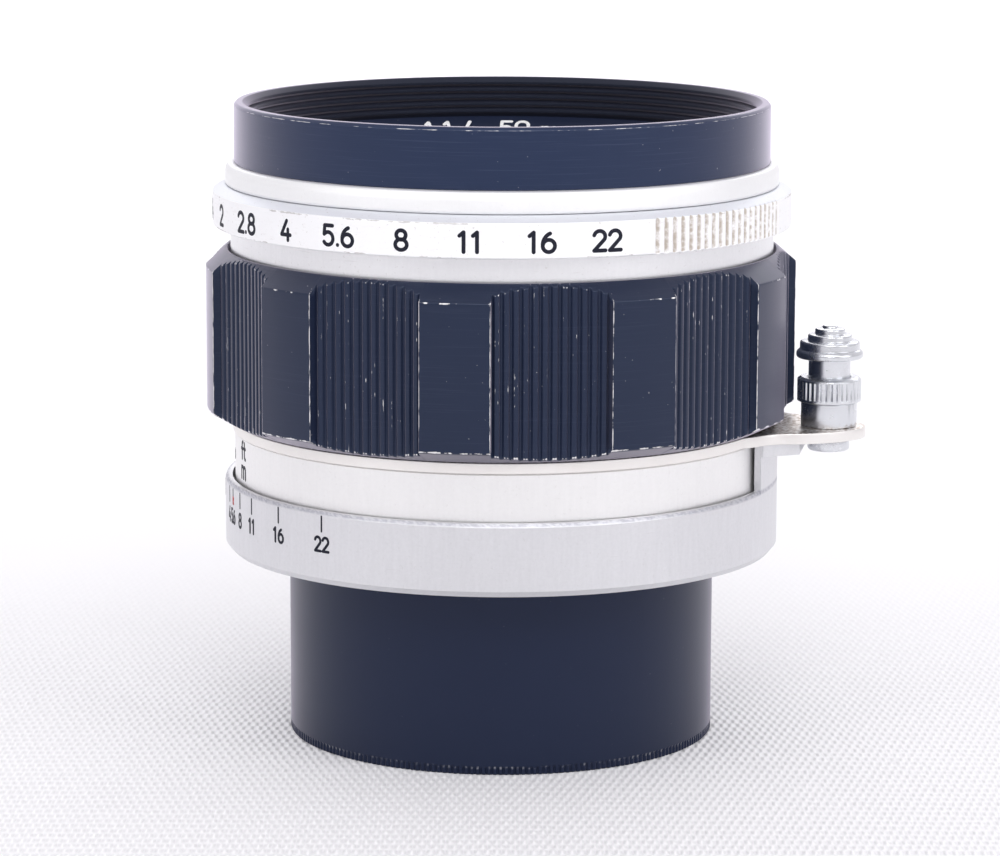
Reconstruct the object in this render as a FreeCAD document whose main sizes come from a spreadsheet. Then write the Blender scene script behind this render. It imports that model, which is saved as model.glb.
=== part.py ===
import FreeCAD, Part
import math
import os
import re
import Sketcher

V = FreeCAD.Vector
doc = FreeCAD.newDocument("manual_focus_lens")

# Every length is in millimetres and every angle in degrees. The origin is the centre of the
# rear cap's base, +Z points to the front of the lens, and azimuths run from -Y towards +X.
DIMS = {
    # rear cap
    "cap_radius": 21.6, "cap_height": 19.2, "cap_floor": 2.0, "cap_cavity": 18.9,
    "cap_thread": 19.6, "cap_thread_z": 14.6, "cap_chamfer": 0.25,
    # mount flange and its 39 mm thread
    "flange_z": 19.2, "flange_top": 21.0, "flange_radius": 26.4, "mount_bore": 18.0,
    "mount_thread": 19.5, "mount_root": 19.1, "mount_low": 15.2, "mount_pitch": 1.0,
    # depth-of-field ring with its riser and lug
    "dof_radius": 28.1, "dof_inner": 27.4, "dof_top": 26.4, "dof_bevel": 0.35, "dof_bevel_in": 0.15,
    "dof_foot": 27.6, "dof_foot_z": 19.8, "riser_top": 31.1, "riser_angle": 27.6, "lug_low": 29.9,
    # side arm and its thin ring
    "arm_azimuth": 80.5, "arm_low": 31.1, "arm_thick": 1.1, "arm_inner": 25.7, "arm_radius": 27.3,
    "plunger_reach": 33.35,
    # bearing tube and guide keys
    "bearing_inner": 25.15, "bearing_outer": 26.35, "bearing_top": 29.4, "foot_room": 25.85,
    "foot_room_z": 22.45, "key_inner": 22.2, "key_outer": 23.15, "key_half": 1.5, "key_top": 34.0,
    "key_play": 0.1,
    # focusing sleeve, distance ring and grip
    "sleeve_inner": 23.35, "sleeve_outer": 25.1, "sleeve_low": 21.1, "sleeve_foot": 25.75,
    "sleeve_foot_z": 22.35, "sleeve_top": 36.0, "sleeve_groove": 0.25, "sleeve_pitch": 1.4,
    "scale_radius": 27.1, "scale_inner": 26.5, "scale_low": 22.2, "scale_top": 31.05, "scale_web": 29.55,
    "land_radius": 29.9, "land_top": 47.9, "land_low": 33.5, "lip_radius": 27.95, "lip_top": 49.6,
    "lip_inner": 27.7, "grip_low": 32.3, "grip_foot": 27.6, "grip_room": 43.6, "grip_bore": 26.6,
    "grip_floor": 35.2, "land_half": 6.67, "land_azimuth": 27.33, "lobe_count": 10,
    "ridge_end": 28.68, "ridge_mid": 28.3, "ridge_depth": 0.25, "ridge_count": 12,
    # optical barrel
    "barrel_outer": 23.25, "barrel_inner": 21.0, "barrel_low": 21.6, "barrel_groove": 0.25,
    "neck_radius": 27.41, "neck_low": 44.6, "neck_top": 52.0, "nose_outer": 24.4, "nose_inner": 22.4,
    "nose_top": 57.0, "step_z": 46.5, "pin_azimuth": 79.0, "pin_z": 54.1, "aperture_travel": 105.0,
    # front collar, filter ring and name ring
    "collar_radius": 27.96, "collar_edge": 27.6, "collar_low": 56.15, "collar_top": 58.3,
    "rim_radius": 27.0, "rim_top": 64.3, "rim_chamfer": 0.3,
    "rim_crest": 26.08, "thread_radius": 25.6, "thread_root": 26.0, "thread_top": 63.8,
    "thread_pitch": 0.75, "thread_turns": 4, "thread_crest": 0.26, "relief_radius": 25.9, "relief_low": 59.3,
    "spigot_outer": 26.2, "spigot_inner": 24.45, "spigot_low": 56.6, "ledge_z": 57.8,
    "name_radius": 25.55, "name_edge_z": 60.1, "name_inner": 18.8, "name_inner_z": 56.15,
    # aperture ring
    "ring_radius": 29.18, "ring_bore": 24.45, "ring_low": 52.05, "ring_top": 56.1,
    "ring_bevel_z": 55.45, "ring_nose": 27.97, "knurl_azimuth": 30.6, "knurl_pitch": 1.97,
    "knurl_count": 20, "knurl_depth": 0.28, "knurl_half": 1.07, "knurl_low": 52.05, "knurl_top": 55.75,
    "screw_radius": 0.62,
    # glass: vertex heights and surface radii
    "glass1_radius": 18.0, "glass2_radius": 15.5, "glass4_radius": 13.0, "glass6_radius": 13.6,
    # cells
    "cell_outer": 20.95, "cell_nose": 21.0, "cell_top": 55.4, "cell_low": 36.0,
    # iris
    "stop_radius": 12.0, "iris_low": 33.0, "iris_floor": 33.8, "iris_wall": 20.5, "iris_top": 35.95,
    "blade_inner": 12.2, "blade_outer": 17.9, "blade_arc": 100.0, "blade_thick": 0.08, "blade_step": 0.12,
    "blade_low": 33.9, "blade_count": 10, "pivot_radius": 19.2, "pivot_pin": 0.4, "tail_arm": 2.0,
    "tail_pin": 0.3, "tail_angle": 17.0, "blade_swing": 34.0,
    "drive_turn": 5.2, "drive_low": 35.12, "drive_top": 35.7, "drive_inner": 12.6, "drive_outer": 20.4,
    # plunger
    "housing_radius": 2.8, "housing_low": 32.2, "housing_top": 34.7, "housing_bore": 2.2,
    "housing_neck": 2.5, "neck_end": 36.5, "housing_floor": 31.5, "rod_radius": 0.9,
    "lock_radius": 3.2, "lock_low": 34.75, "lock_top": 37.2, "lock_bore": 2.56, "stem_radius": 2.1,
    "stem_low": 35.6, "brim_low": 39.1, "brim_radius": 3.35, "foot_radius": 2.1, "foot_low": 29.75,
    "foot_top": 30.85, "wire_radius": 0.18, "spring_mean": 1.5,
}

sheet = doc.addObject("Spreadsheet::Sheet", "Dims")
for row, (alias, number) in enumerate(DIMS.items(), start=1):
    sheet.set("A%d" % row, alias)
    sheet.set("B%d" % row, str(number))
    sheet.setAlias("B%d" % row, alias)
doc.recompute()

WORD = re.compile(r"[a-z]+[0-9]?_[a-z_]+")


def expr(text):
    """Turn '1.5 + cap_radius' into an expression that points at the sheet."""
    return WORD.sub(lambda found: "Dims." + found.group(0), str(text))


def value(text):
    """Present value of an expression, for drawing the geometry close to its final place."""
    return float(sheet.evalExpression(expr(text)))


def new_body(name):
    body = doc.addObject("PartDesign::Body", name)
    body.Label = name
    return body


def origin_item(body, role):
    return [item for item in body.Origin.OriginFeatures if item.Role == role][0]


def new_sketch(body, role, z="0"):
    sketch = body.newObject("Sketcher::SketchObject", body.Name + "_sketch")
    sketch.AttachmentSupport = [(origin_item(body, role), "")]
    sketch.MapMode = "FlatFace"
    if z != "0":
        sketch.setExpression("AttachmentOffset.Base.z", expr(z))
    return sketch


def pin(sketch, kind, index, position, text):
    """Fix one coordinate of a sketch point to a sheet expression."""
    number = value(text)
    row = sketch.addConstraint(Sketcher.Constraint(kind, index, position, number))
    if re.search("[a-z]", str(text)):
        sketch.setExpression("Constraints[%d]" % row, expr(text))


def outline(sketch, points):
    """Closed loop of straight edges through (x, y) expressions."""
    spots = [V(value(x), value(y), 0) for x, y in points]
    count = len(spots)
    edges = [Part.LineSegment(spots[i], spots[(i + 1) % count]) for i in range(count)]
    first = sketch.addGeometry(edges, False)[0]
    joins = [Sketcher.Constraint("Coincident", first + i, 2, first + (i + 1) % count, 1)
             for i in range(count)]
    sketch.addConstraint(joins)
    for i, (x, y) in enumerate(points):
        pin(sketch, "DistanceX", first + i, 1, x)
        pin(sketch, "DistanceY", first + i, 1, y)
    return sketch


def circle(sketch, x, y, radius):
    """Circle at an (x, y) expression with its radius bound."""
    spot = V(value(x), value(y), 0)
    index = sketch.addGeometry(Part.Circle(spot, V(0, 0, 1), value(radius)), False)
    row = sketch.addConstraint(Sketcher.Constraint("Radius", index, value(radius)))
    if re.search("[a-z]", str(radius)):
        sketch.setExpression("Constraints[%d]" % row, expr(radius))
    pin(sketch, "DistanceX", index, 3, x)
    pin(sketch, "DistanceY", index, 3, y)
    return sketch


def box_outline(sketch, x0, x1, y0, y1):
    return outline(sketch, [(x0, y0), (x1, y0), (x1, y1), (x0, y1)])


def revolve(body, sketch, angle=360, cut=False):
    kind = "PartDesign::Groove" if cut else "PartDesign::Revolution"
    feature = body.newObject(kind, body.Name + ("_groove" if cut else "_turn"))
    feature.Profile = sketch
    feature.ReferenceAxis = (sketch, ["V_Axis"])
    feature.Midplane = angle != 360
    feature.Angle = value(angle)
    if re.search("[a-z]", str(angle)):
        feature.setExpression("Angle", expr(angle))
    return feature


def pad(body, sketch, length):
    feature = body.newObject("PartDesign::Pad", body.Name + "_pad")
    feature.Profile = sketch
    feature.Length = value(length)
    if re.search("[a-z]", str(length)):
        feature.setExpression("Length", expr(length))
    return feature


def pocket(body, sketch, length):
    """Cut upwards (+Z) from the sketch plane."""
    feature = body.newObject("PartDesign::Pocket", body.Name + "_pocket")
    feature.Profile = sketch
    feature.Reversed = True
    feature.Length = value(length)
    if re.search("[a-z]", str(length)):
        feature.setExpression("Length", expr(length))
    return feature


def repeat(body, feature, count, angle="360"):
    """Repeat a feature around the optical axis."""
    pattern = body.newObject("PartDesign::PolarPattern", body.Name + "_pattern")
    pattern.Originals = [feature]
    pattern.Axis = (origin_item(body, "Z_Axis"), [""])
    pattern.Angle = value(angle)
    pattern.Occurrences = int(value(count))
    if re.search("[a-z]", str(angle)):
        pattern.setExpression("Angle", expr(angle))
    if re.search("[a-z]", str(count)):
        pattern.setExpression("Occurrences", expr(count))
    body.Tip = pattern
    return pattern


def turned(name, points):
    """Turned body: closed outline of (radius, height) expressions about the Z axis."""
    body = new_body(name)
    revolve(body, outline(new_sketch(body, "XZ_Plane"), points))
    return body


def face_azimuth(body, azimuth):
    """Turn a body so that its own +X points at an azimuth."""
    turn = "placement(vector(0; 0; 0); rotation(vector(0; 0; 1); %s))" % expr("%s - 90" % azimuth)
    body.setExpression("Placement", turn)


def on_plunger_axis(body):
    body.setExpression("Placement.Base.x", expr("plunger_reach * sin(arm_azimuth)"))
    body.setExpression("Placement.Base.y", expr("-plunger_reach * cos(arm_azimuth)"))


def thread_steps(crest, root, low, pitch, turns, flat=None):
    """(radius, height) points of a thread drawn as separate rings, from the bottom up.
    With flat, each crest is a narrow cylinder of that height instead of an edge."""
    points = []
    for turn in range(turns + 1):
        points.append((crest, "%s + %s * %g" % (low, pitch, turn)))
        if flat:
            points.append((crest, "%s + %s * %g + %s" % (low, pitch, turn, flat)))
        if turn < turns:
            points.append((root, "%s + %s * %g + %s / 2" % (low, pitch, turn + 0.5, flat or "0")))
    return points


def smoothed(points, steps):
    """A Catmull-Rom curve through the points, as a finer chain of points."""
    chain = [points[0]] + points + [points[-1]]
    curve = []
    for a, b, c, d in zip(chain, chain[1:], chain[2:], chain[3:]):
        for step in range(steps):
            t = step / steps
            curve.append(tuple(
                b[i] + 0.5 * t * (c[i] - a[i] + t * (2 * a[i] - 5 * b[i] + 4 * c[i] - d[i]
                                                     + t * (3 * b[i] - a[i] - 3 * c[i] + d[i])))
                for i in (0, 1)))
    return curve + [points[-1]]


def make_rear_cap():
    turned("rear_cap", [
        ("0", "0"), ("cap_radius - cap_chamfer", "0"), ("cap_radius", "cap_chamfer"),
        ("cap_radius", "cap_height - cap_chamfer"), ("cap_radius - cap_chamfer", "cap_height"),
        ("cap_thread", "cap_height"), ("cap_thread", "cap_thread_z"),
        ("cap_cavity", "cap_thread_z"), ("cap_cavity", "cap_floor"), ("0", "cap_floor")])


def make_mount_flange():
    thread = thread_steps("mount_thread", "mount_root", "mount_low", "mount_pitch", 4)
    turned("mount_flange", [("mount_bore", "mount_low"), *thread[:-1],
                            ("mount_thread", "flange_z"), ("flange_radius", "flange_z"),
                            ("flange_radius", "flange_top"), ("mount_bore", "flange_top")])


def make_dof_ring():
    body = turned("dof_ring", [
        ("flange_radius", "flange_z"), ("dof_foot", "flange_z"), ("dof_radius", "dof_foot_z"),
        ("dof_radius", "dof_top - dof_bevel"), ("dof_radius - dof_bevel_in", "dof_top"),
        ("dof_inner", "dof_top"), ("dof_inner", "flange_top"), ("flange_radius", "flange_top")])
    riser = box_outline(new_sketch(body, "XZ_Plane"), "dof_inner", "dof_radius", "dof_top - 1", "riser_top")
    revolve(body, riser, angle="riser_angle")
    lug = [("26.9", "-6.6"), ("27.5", "-6.7"), ("30.9", "-4.6"), ("30.9", "4.6"), ("27.5", "6.7"),
           ("26.9", "6.6"), ("27.55", "3.5"), ("27.7", "0"), ("27.55", "-3.5")]
    pad(body, outline(new_sketch(body, "XY_Plane", "lug_low"), lug), "riser_top - lug_low")
    notch = circle(new_sketch(body, "XY_Plane", "lug_low - 1"), "plunger_reach", "0", "foot_radius + 0.2")
    pocket(body, notch, "riser_top - lug_low + 2")
    face_azimuth(body, "arm_azimuth")


def make_release_arm():
    body = turned("release_arm", [("arm_inner", "arm_low"), ("arm_radius", "arm_low"),
                                  ("arm_radius", "arm_low + arm_thick"),
                                  ("arm_inner", "arm_low + arm_thick")])
    side = [(25.2, 9.6), (26.6, 8.4), (27.8, 7.0), (29.2, 6.1), (31.6, 5.5), (34.5, 4.0), (36.2, 2.2),
            (36.95, 0.75)]
    edge = smoothed([(x, -y) for x, y in side] + side[::-1], 3)
    plate = edge + [(26.2, 3.2), (26.3, 0.0), (26.2, -3.2)]
    points = [("%.4f" % x, "%.4f" % y) for x, y in plate]
    pad(body, outline(new_sketch(body, "XY_Plane", "arm_low"), points), "arm_thick")
    hole = circle(new_sketch(body, "XY_Plane", "arm_low - 1"), "plunger_reach", "0", "housing_bore + 0.05")
    pocket(body, hole, "arm_thick + 2")
    face_azimuth(body, "arm_azimuth")


def make_bearing_tube():
    turned("bearing_tube", [("foot_room", "flange_top"), ("bearing_outer", "flange_top"),
                            ("bearing_outer", "bearing_top"), ("bearing_inner", "bearing_top"),
                            ("bearing_inner", "foot_room_z"), ("foot_room", "foot_room_z")])


def make_guide_key(number, side):
    """Straight key that lets the optical barrel slide but not turn."""
    body = new_body("guide_key_%d" % number)
    span = ("key_inner", "key_outer") if side > 0 else ("-key_outer", "-key_inner")
    bar = box_outline(new_sketch(body, "XY_Plane", "flange_top"), *span, "-key_half", "key_half")
    pad(body, bar, "key_top - flange_top")
    face_azimuth(body, "(pin_azimuth - aperture_travel / 2)")


def make_focus_sleeve():
    low = "sleeve_low"
    grooves = []
    for turn in range(9, 0, -1):
        base = "%s + sleeve_pitch * %g" % (low, turn)
        grooves += [("sleeve_inner", base + " + 0.35"), ("sleeve_inner + sleeve_groove", base),
                    ("sleeve_inner", base + " - 0.35")]
    turned("focus_sleeve", [
        ("sleeve_inner", low), ("sleeve_foot", low), ("sleeve_foot", "sleeve_foot_z"),
        ("sleeve_outer", "sleeve_foot_z"), ("sleeve_outer", "sleeve_top"),
        ("sleeve_inner", "sleeve_top"), *grooves])


def make_distance_ring():
    turned("distance_ring", [
        ("sleeve_outer", "scale_web"), ("scale_inner", "scale_web"), ("scale_inner", "scale_low"),
        ("scale_radius", "scale_low"), ("scale_radius", "scale_top - 0.1"),
        ("scale_radius - 0.1", "scale_top"), ("sleeve_outer", "scale_top")])


def scallop_outline():
    """One hollow between two lands: a wide arc of straight ridges, centred on +X."""
    half = value("180 / lobe_count - land_half")
    turn_end = "%s * cos(%.4f)" % ("land_radius", half), "%s * sin(%.4f)" % ("land_radius", half)
    reach = "ridge_end * tan(%.4f)" % half
    steps = int(value("ridge_count"))
    points = []
    for ridge in range(steps):
        for share, deep in ((0.0, 1), (0.16, 1), (0.4, 0), (0.76, 0)):
            across = 2 * (ridge + share) / steps - 1
            crest = "ridge_mid + (ridge_end - ridge_mid) * %.5f" % (across * across)
            points.append((crest + (" - ridge_depth" if deep else ""), "%s * %.5f" % (reach, across)))
    points.append(("ridge_end - ridge_depth", reach))
    out = "land_radius + 1"
    ends = [(turn_end[0], turn_end[1]), (out, turn_end[1]), (out, "-1 * " + turn_end[1]),
            (turn_end[0], "-1 * " + turn_end[1])]
    return points + ends


def make_focus_grip():
    body = turned("focus_grip", [
        ("sleeve_outer", "grip_low"), ("grip_foot", "grip_low"), ("land_radius", "land_low"),
        ("land_radius", "land_top"), ("lip_radius", "lip_top"), ("lip_inner", "lip_top"),
        ("lip_inner", "grip_room"), ("grip_bore", "grip_room"), ("grip_bore", "grip_floor"),
        ("sleeve_outer", "grip_floor")])
    hollow = outline(new_sketch(body, "XY_Plane", "grip_low - 1"), scallop_outline())
    repeat(body, pocket(body, hollow, "lip_top - grip_low + 2"), "lobe_count")
    face_azimuth(body, "(land_azimuth + 180 / lobe_count)")


def make_barrel():
    grooves = []
    for turn in range(1, 15):
        base = "barrel_low + sleeve_pitch * %g" % turn
        grooves += [("barrel_outer", base + " - 0.35"), ("barrel_outer - barrel_groove", base),
                    ("barrel_outer", base + " + 0.35")]
    body = turned("barrel", [
        ("barrel_inner", "barrel_low"), ("barrel_outer", "barrel_low"), *grooves,
        ("barrel_outer", "neck_low"), ("neck_radius", "neck_low"), ("neck_radius", "neck_top"),
        ("nose_outer", "neck_top"), ("nose_outer", "nose_top"), ("nose_inner", "nose_top"),
        ("nose_inner", "step_z"), ("barrel_inner", "step_z")])
    slot = box_outline(new_sketch(body, "XY_Plane", "barrel_low - 1"), "key_inner - key_play", "neck_radius",
                       "-key_half - key_play / 2", "key_half + key_play / 2")
    repeat(body, pocket(body, slot, "key_top - barrel_low + 2.2"), "2")
    window = box_outline(new_sketch(body, "XZ_Plane"), "nose_inner - 0.5", "nose_outer + 0.5",
                         "pin_z - screw_radius - 0.15", "pin_z + screw_radius + 0.15")
    revolve(body, window, angle="aperture_travel + 5", cut=True)
    face_azimuth(body, "(pin_azimuth - aperture_travel / 2)")


def make_front_rings():
    turned("front_collar", [
        ("spigot_outer + 0.05", "collar_low"), ("collar_radius - 0.12", "collar_low"),
        ("collar_radius", "collar_low + 0.25"), ("collar_radius - 0.1", "collar_top - 0.3"),
        ("collar_edge", "collar_top"), ("spigot_outer + 0.05", "collar_top")])
    turns = int(value("thread_turns"))
    low = "(thread_top - thread_crest - thread_pitch * thread_turns)"
    thread = thread_steps("thread_radius", "thread_root", low, "thread_pitch", turns, "thread_crest")[::-1]
    turned("filter_ring", [
        ("spigot_inner", "spigot_low"), ("spigot_outer", "spigot_low"), ("spigot_outer", "collar_top"),
        ("rim_radius", "collar_top"), ("rim_radius", "rim_top - rim_chamfer"),
        ("rim_radius - rim_chamfer", "rim_top"), ("rim_crest", "rim_top"),
        *thread, ("relief_radius", low + " - 0.3"), ("relief_radius", "relief_low + 0.3"),
        ("thread_radius", "relief_low"), ("thread_radius", "ledge_z"), ("spigot_inner", "ledge_z")])
    turned("name_ring", [
        ("name_inner", "cell_top + 0.1"), ("nose_inner - 0.05", "cell_top + 0.1"),
        ("nose_inner - 0.05", "nose_top"), ("spigot_inner - 0.05", "nose_top"),
        ("spigot_inner - 0.05", "ledge_z"), ("name_radius", "ledge_z"),
        ("name_radius", "name_edge_z"), ("name_inner", "name_inner_z")])


def make_aperture_ring():
    body = turned("aperture_ring", [
        ("ring_bore", "ring_low"), ("ring_radius - 0.12", "ring_low"), ("ring_radius", "ring_low + 0.12"),
        ("ring_radius", "ring_bevel_z"), ("ring_nose", "ring_top"), ("ring_bore", "ring_top")])
    hole = circle(new_sketch(body, "YZ_Plane", "nose_outer"), "0", "pin_z", "screw_radius")
    drill = body.newObject("PartDesign::Pocket", "aperture_ring_screw_hole")
    drill.Profile = hole
    drill.Reversed = True
    drill.setExpression("Length", expr("ring_radius - nose_outer + 1"))
    groove = outline(new_sketch(body, "XY_Plane", "knurl_low"), [
        ("(ring_radius - knurl_depth) * cos(knurl_azimuth - pin_azimuth)",
         "(ring_radius - knurl_depth) * sin(knurl_azimuth - pin_azimuth)"),
        ("(ring_radius + 0.2) * cos(knurl_azimuth - pin_azimuth - knurl_half)",
         "(ring_radius + 0.2) * sin(knurl_azimuth - pin_azimuth - knurl_half)"),
        ("(ring_radius + 0.2) * cos(knurl_azimuth - pin_azimuth + knurl_half)",
         "(ring_radius + 0.2) * sin(knurl_azimuth - pin_azimuth + knurl_half)")])
    cut = pocket(body, groove, "knurl_top - knurl_low")
    repeat(body, cut, "knurl_count", "knurl_pitch * (knurl_count - 1)")
    far = outline(new_sketch(body, "XY_Plane", "knurl_low"), [
        ("-(ring_radius - knurl_depth) * cos(knurl_azimuth - pin_azimuth)",
         "-(ring_radius - knurl_depth) * sin(knurl_azimuth - pin_azimuth)"),
        ("-(ring_radius + 0.2) * cos(knurl_azimuth - pin_azimuth - knurl_half)",
         "-(ring_radius + 0.2) * sin(knurl_azimuth - pin_azimuth - knurl_half)"),
        ("-(ring_radius + 0.2) * cos(knurl_azimuth - pin_azimuth + knurl_half)",
         "-(ring_radius + 0.2) * sin(knurl_azimuth - pin_azimuth + knurl_half)")])
    cut = pocket(body, far, "knurl_top - knurl_low")
    repeat(body, cut, "knurl_count", "knurl_pitch * (knurl_count - 1)")
    face_azimuth(body, "pin_azimuth")


def make_aperture_drive():
    """Radial screw that ties the aperture ring to the cam tube inside the barrel."""
    screw = new_body("drive_screw")
    shank = circle(new_sketch(screw, "YZ_Plane", "cell_nose + 0.2"), "0", "pin_z", "screw_radius - 0.02")
    pad(screw, shank, "ring_radius - cell_nose - 0.5")
    slot = box_outline(new_sketch(screw, "YZ_Plane", "ring_radius - 0.6"), "-0.6", "0.6",
                       "pin_z - 0.1", "pin_z + 0.1")
    driver = screw.newObject("PartDesign::Pocket", "drive_screw_slot")
    driver.Profile = slot
    driver.Reversed = True
    driver.Length = 1
    face_azimuth(screw, "pin_azimuth")
    tube = turned("cam_tube", [
        ("cell_nose + 0.15", "step_z + 0.1"), ("nose_inner - 0.15", "step_z + 0.1"),
        ("nose_inner - 0.15", "cell_top - 0.1"), ("cell_nose + 0.15", "cell_top - 0.1")])
    hole = circle(new_sketch(tube, "YZ_Plane", "0"), "0", "pin_z", "screw_radius")
    drill = tube.newObject("PartDesign::Pocket", "cam_tube_screw_hole")
    drill.Profile = hole
    drill.Reversed = True
    drill.setExpression("Length", expr("nose_outer + 1"))
    face_azimuth(tube, "pin_azimuth")


def sag(vertex, bend, radius, steps=7, outward=True):
    """Points along a spherical surface. Bend > 0 curves the rim below the vertex."""
    points = []
    for step in range(steps + 1):
        share = step / steps
        across = "%s * %.5f" % (radius, share)
        drop = "(%g - sqrt(%g - pow(%s; 2)))" % (abs(bend), bend * bend, across)
        sign = "-" if bend > 0 else "+"
        points.append((across, "%s %s %s" % (vertex, sign, drop)))
    return points if outward else points[::-1]


def make_glass():
    """Six elements of a double-Gauss lens; a surface is (vertex height, bend, radius)."""
    elements = {
        "lens_1": (("51.6", 180.0, "glass1_radius"), ("56.8", 40.0, "glass1_radius")),
        "lens_2": (("45.3", 60.0, "glass2_radius"), ("51.3", 22.5, "glass2_radius")),
        "lens_3": (("43.5", 14.5, "12.3"), ("45.28", 60.0, "glass2_radius")),
        "lens_4": (("26.52", -50.0, "glass4_radius"), ("28.0", -15.0, "10.4")),
        "lens_5": (("20.2", -22.0, "glass4_radius"), ("26.5", -50.0, "glass4_radius")),
        "lens_6": (("15.6", -45.0, "glass6_radius"), ("19.8", 70.0, "glass6_radius")),
    }
    for name, (rear, front) in elements.items():
        points = sag(*rear)
        if name == "lens_3":
            points.append(("glass2_radius", points[-1][1]))
        ahead = sag(*front, outward=False)
        if name == "lens_4":
            ahead = [("glass4_radius", ahead[0][1])] + ahead
        turned(name, points + ahead)


def make_cells():
    turned("front_cell", [
        ("12.4", "cell_low"), ("cell_outer", "cell_low"), ("cell_outer", "step_z"),
        ("cell_nose", "step_z"), ("cell_nose", "cell_top"), ("19.6", "cell_top"), ("19.6", "52.6"),
        ("glass1_radius + 0.05", "52.6"), ("glass1_radius + 0.05", "50.65"), ("17.0", "50.65"),
        ("17.0", "49.5"), ("glass2_radius + 0.05", "49.5"), ("glass2_radius + 0.05", "36.6"),
        ("12.4", "36.6")])
    turned("retaining_front", [("17.2", "52.98"), ("19.55", "52.98"), ("19.55", "54.6"), ("17.9", "54.6"),
                               ("17.2", "53.9")])
    turned("retaining_middle", [("14.4", "46.15"), ("glass2_radius", "46.15"), ("glass2_radius", "47.5"),
                                ("14.9", "47.5")])
    turned("rear_cell", [
        ("13.1", "13.6"), ("17.2", "13.6"), ("17.2", "31.4"), ("cell_outer", "31.4"),
        ("cell_outer", "32.95"), ("12.6", "32.95"), ("12.6", "32.6"), ("glass4_radius + 0.05", "32.6"),
        ("glass4_radius + 0.05", "20.6"), ("glass6_radius + 0.05", "20.6"), ("glass6_radius + 0.05", "14.9"),
        ("13.1", "14.9")])
    turned("retaining_rear", [("12.5", "19.95"), ("glass6_radius", "19.95"), ("glass6_radius", "20.55"),
                              ("13.02", "20.55"), ("12.8", "20.3")])


def drive_slot_outline():
    """Slanted slot that the drive pin follows while the drive ring turns."""
    start = value("pivot_radius - tail_arm * sin(tail_angle)"), value("-tail_arm * cos(tail_angle)")
    swung = "(blade_swing - tail_angle)"
    far_x = value("pivot_radius + tail_arm * sin%s" % swung)
    far_y = value("-tail_arm * cos%s" % swung)
    turn = math.radians(value("drive_turn"))
    end = (far_x * math.cos(turn) + far_y * math.sin(turn), far_y * math.cos(turn) - far_x * math.sin(turn))
    heading = math.degrees(math.atan2(end[1] - start[1], end[0] - start[0]))
    points = []
    for centre, first in ((end, -90), (start, 90)):
        for step in range(5):
            angle = heading + first + 45 * step
            points.append(("%.4f + (tail_pin + 0.08) * cos(%.3f)" % (centre[0], angle),
                           "%.4f + (tail_pin + 0.08) * sin(%.3f)" % (centre[1], angle)))
    return points


def make_iris():
    base = turned("iris_base", [
        ("stop_radius", "iris_low"), ("cell_outer", "iris_low"), ("cell_outer", "iris_top"),
        ("iris_wall", "iris_top"), ("iris_wall", "iris_floor"), ("stop_radius", "iris_floor")])
    hole = circle(new_sketch(base, "XY_Plane", "iris_low - 1"), "pivot_radius", "0", "pivot_pin + 0.05")
    repeat(base, pocket(base, hole, "iris_floor - iris_low + 1.5"), "blade_count")
    ring = turned("drive_ring", [
        ("drive_inner", "drive_low"), ("drive_outer", "drive_low"), ("drive_outer", "drive_top"),
        ("drive_inner", "drive_top")])
    slot = outline(new_sketch(ring, "XY_Plane", "drive_low - 1"), drive_slot_outline())
    repeat(ring, pocket(ring, slot, "drive_top - drive_low + 2"), "blade_count")


def make_iris_blade(index):
    """Sickle blade with an ear, a pivot pin below and a drive pin above."""
    body = new_body("iris_blade_%02d" % (index + 1))
    level = "(blade_low + blade_step * %d)" % index
    angles = [4 + value("blade_arc") * step / 12 for step in range(13)]
    inner = [("blade_inner * cos(%g)" % a, "blade_inner * sin(%g)" % a) for a in angles]
    outer = [("blade_outer * cos(%g)" % a, "blade_outer * sin(%g)" % a) for a in angles[::-1]]
    pad(body, outline(new_sketch(body, "XY_Plane", level), inner + outer), "blade_thick")
    ear = [("16.4", "1.2"), ("17.9", "-1.2"), ("18.25", "-2.4"), ("18.9", "-2.5"), ("20.0", "-0.6"),
           ("20.0", "0.6"), ("17.0", "3.2"), ("16.4", "3.0")]
    pad(body, outline(new_sketch(body, "XY_Plane", level), ear), "blade_thick")
    low = "(iris_low + 0.1)"
    pivot = circle(new_sketch(body, "XY_Plane", low), "pivot_radius", "0", "pivot_pin")
    pad(body, pivot, "%s - %s + blade_thick" % (level, low))
    tail = circle(new_sketch(body, "XY_Plane", level), "pivot_radius - tail_arm * sin(tail_angle)",
                  "-tail_arm * cos(tail_angle)", "tail_pin")
    pad(body, tail, "drive_top - 0.05 - %s" % level)
    turn = "placement(vector(0; 0; 0); rotation(vector(0; 0; 1); 360 / Dims.blade_count * %d))" % index
    body.setExpression("Placement", turn)


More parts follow.
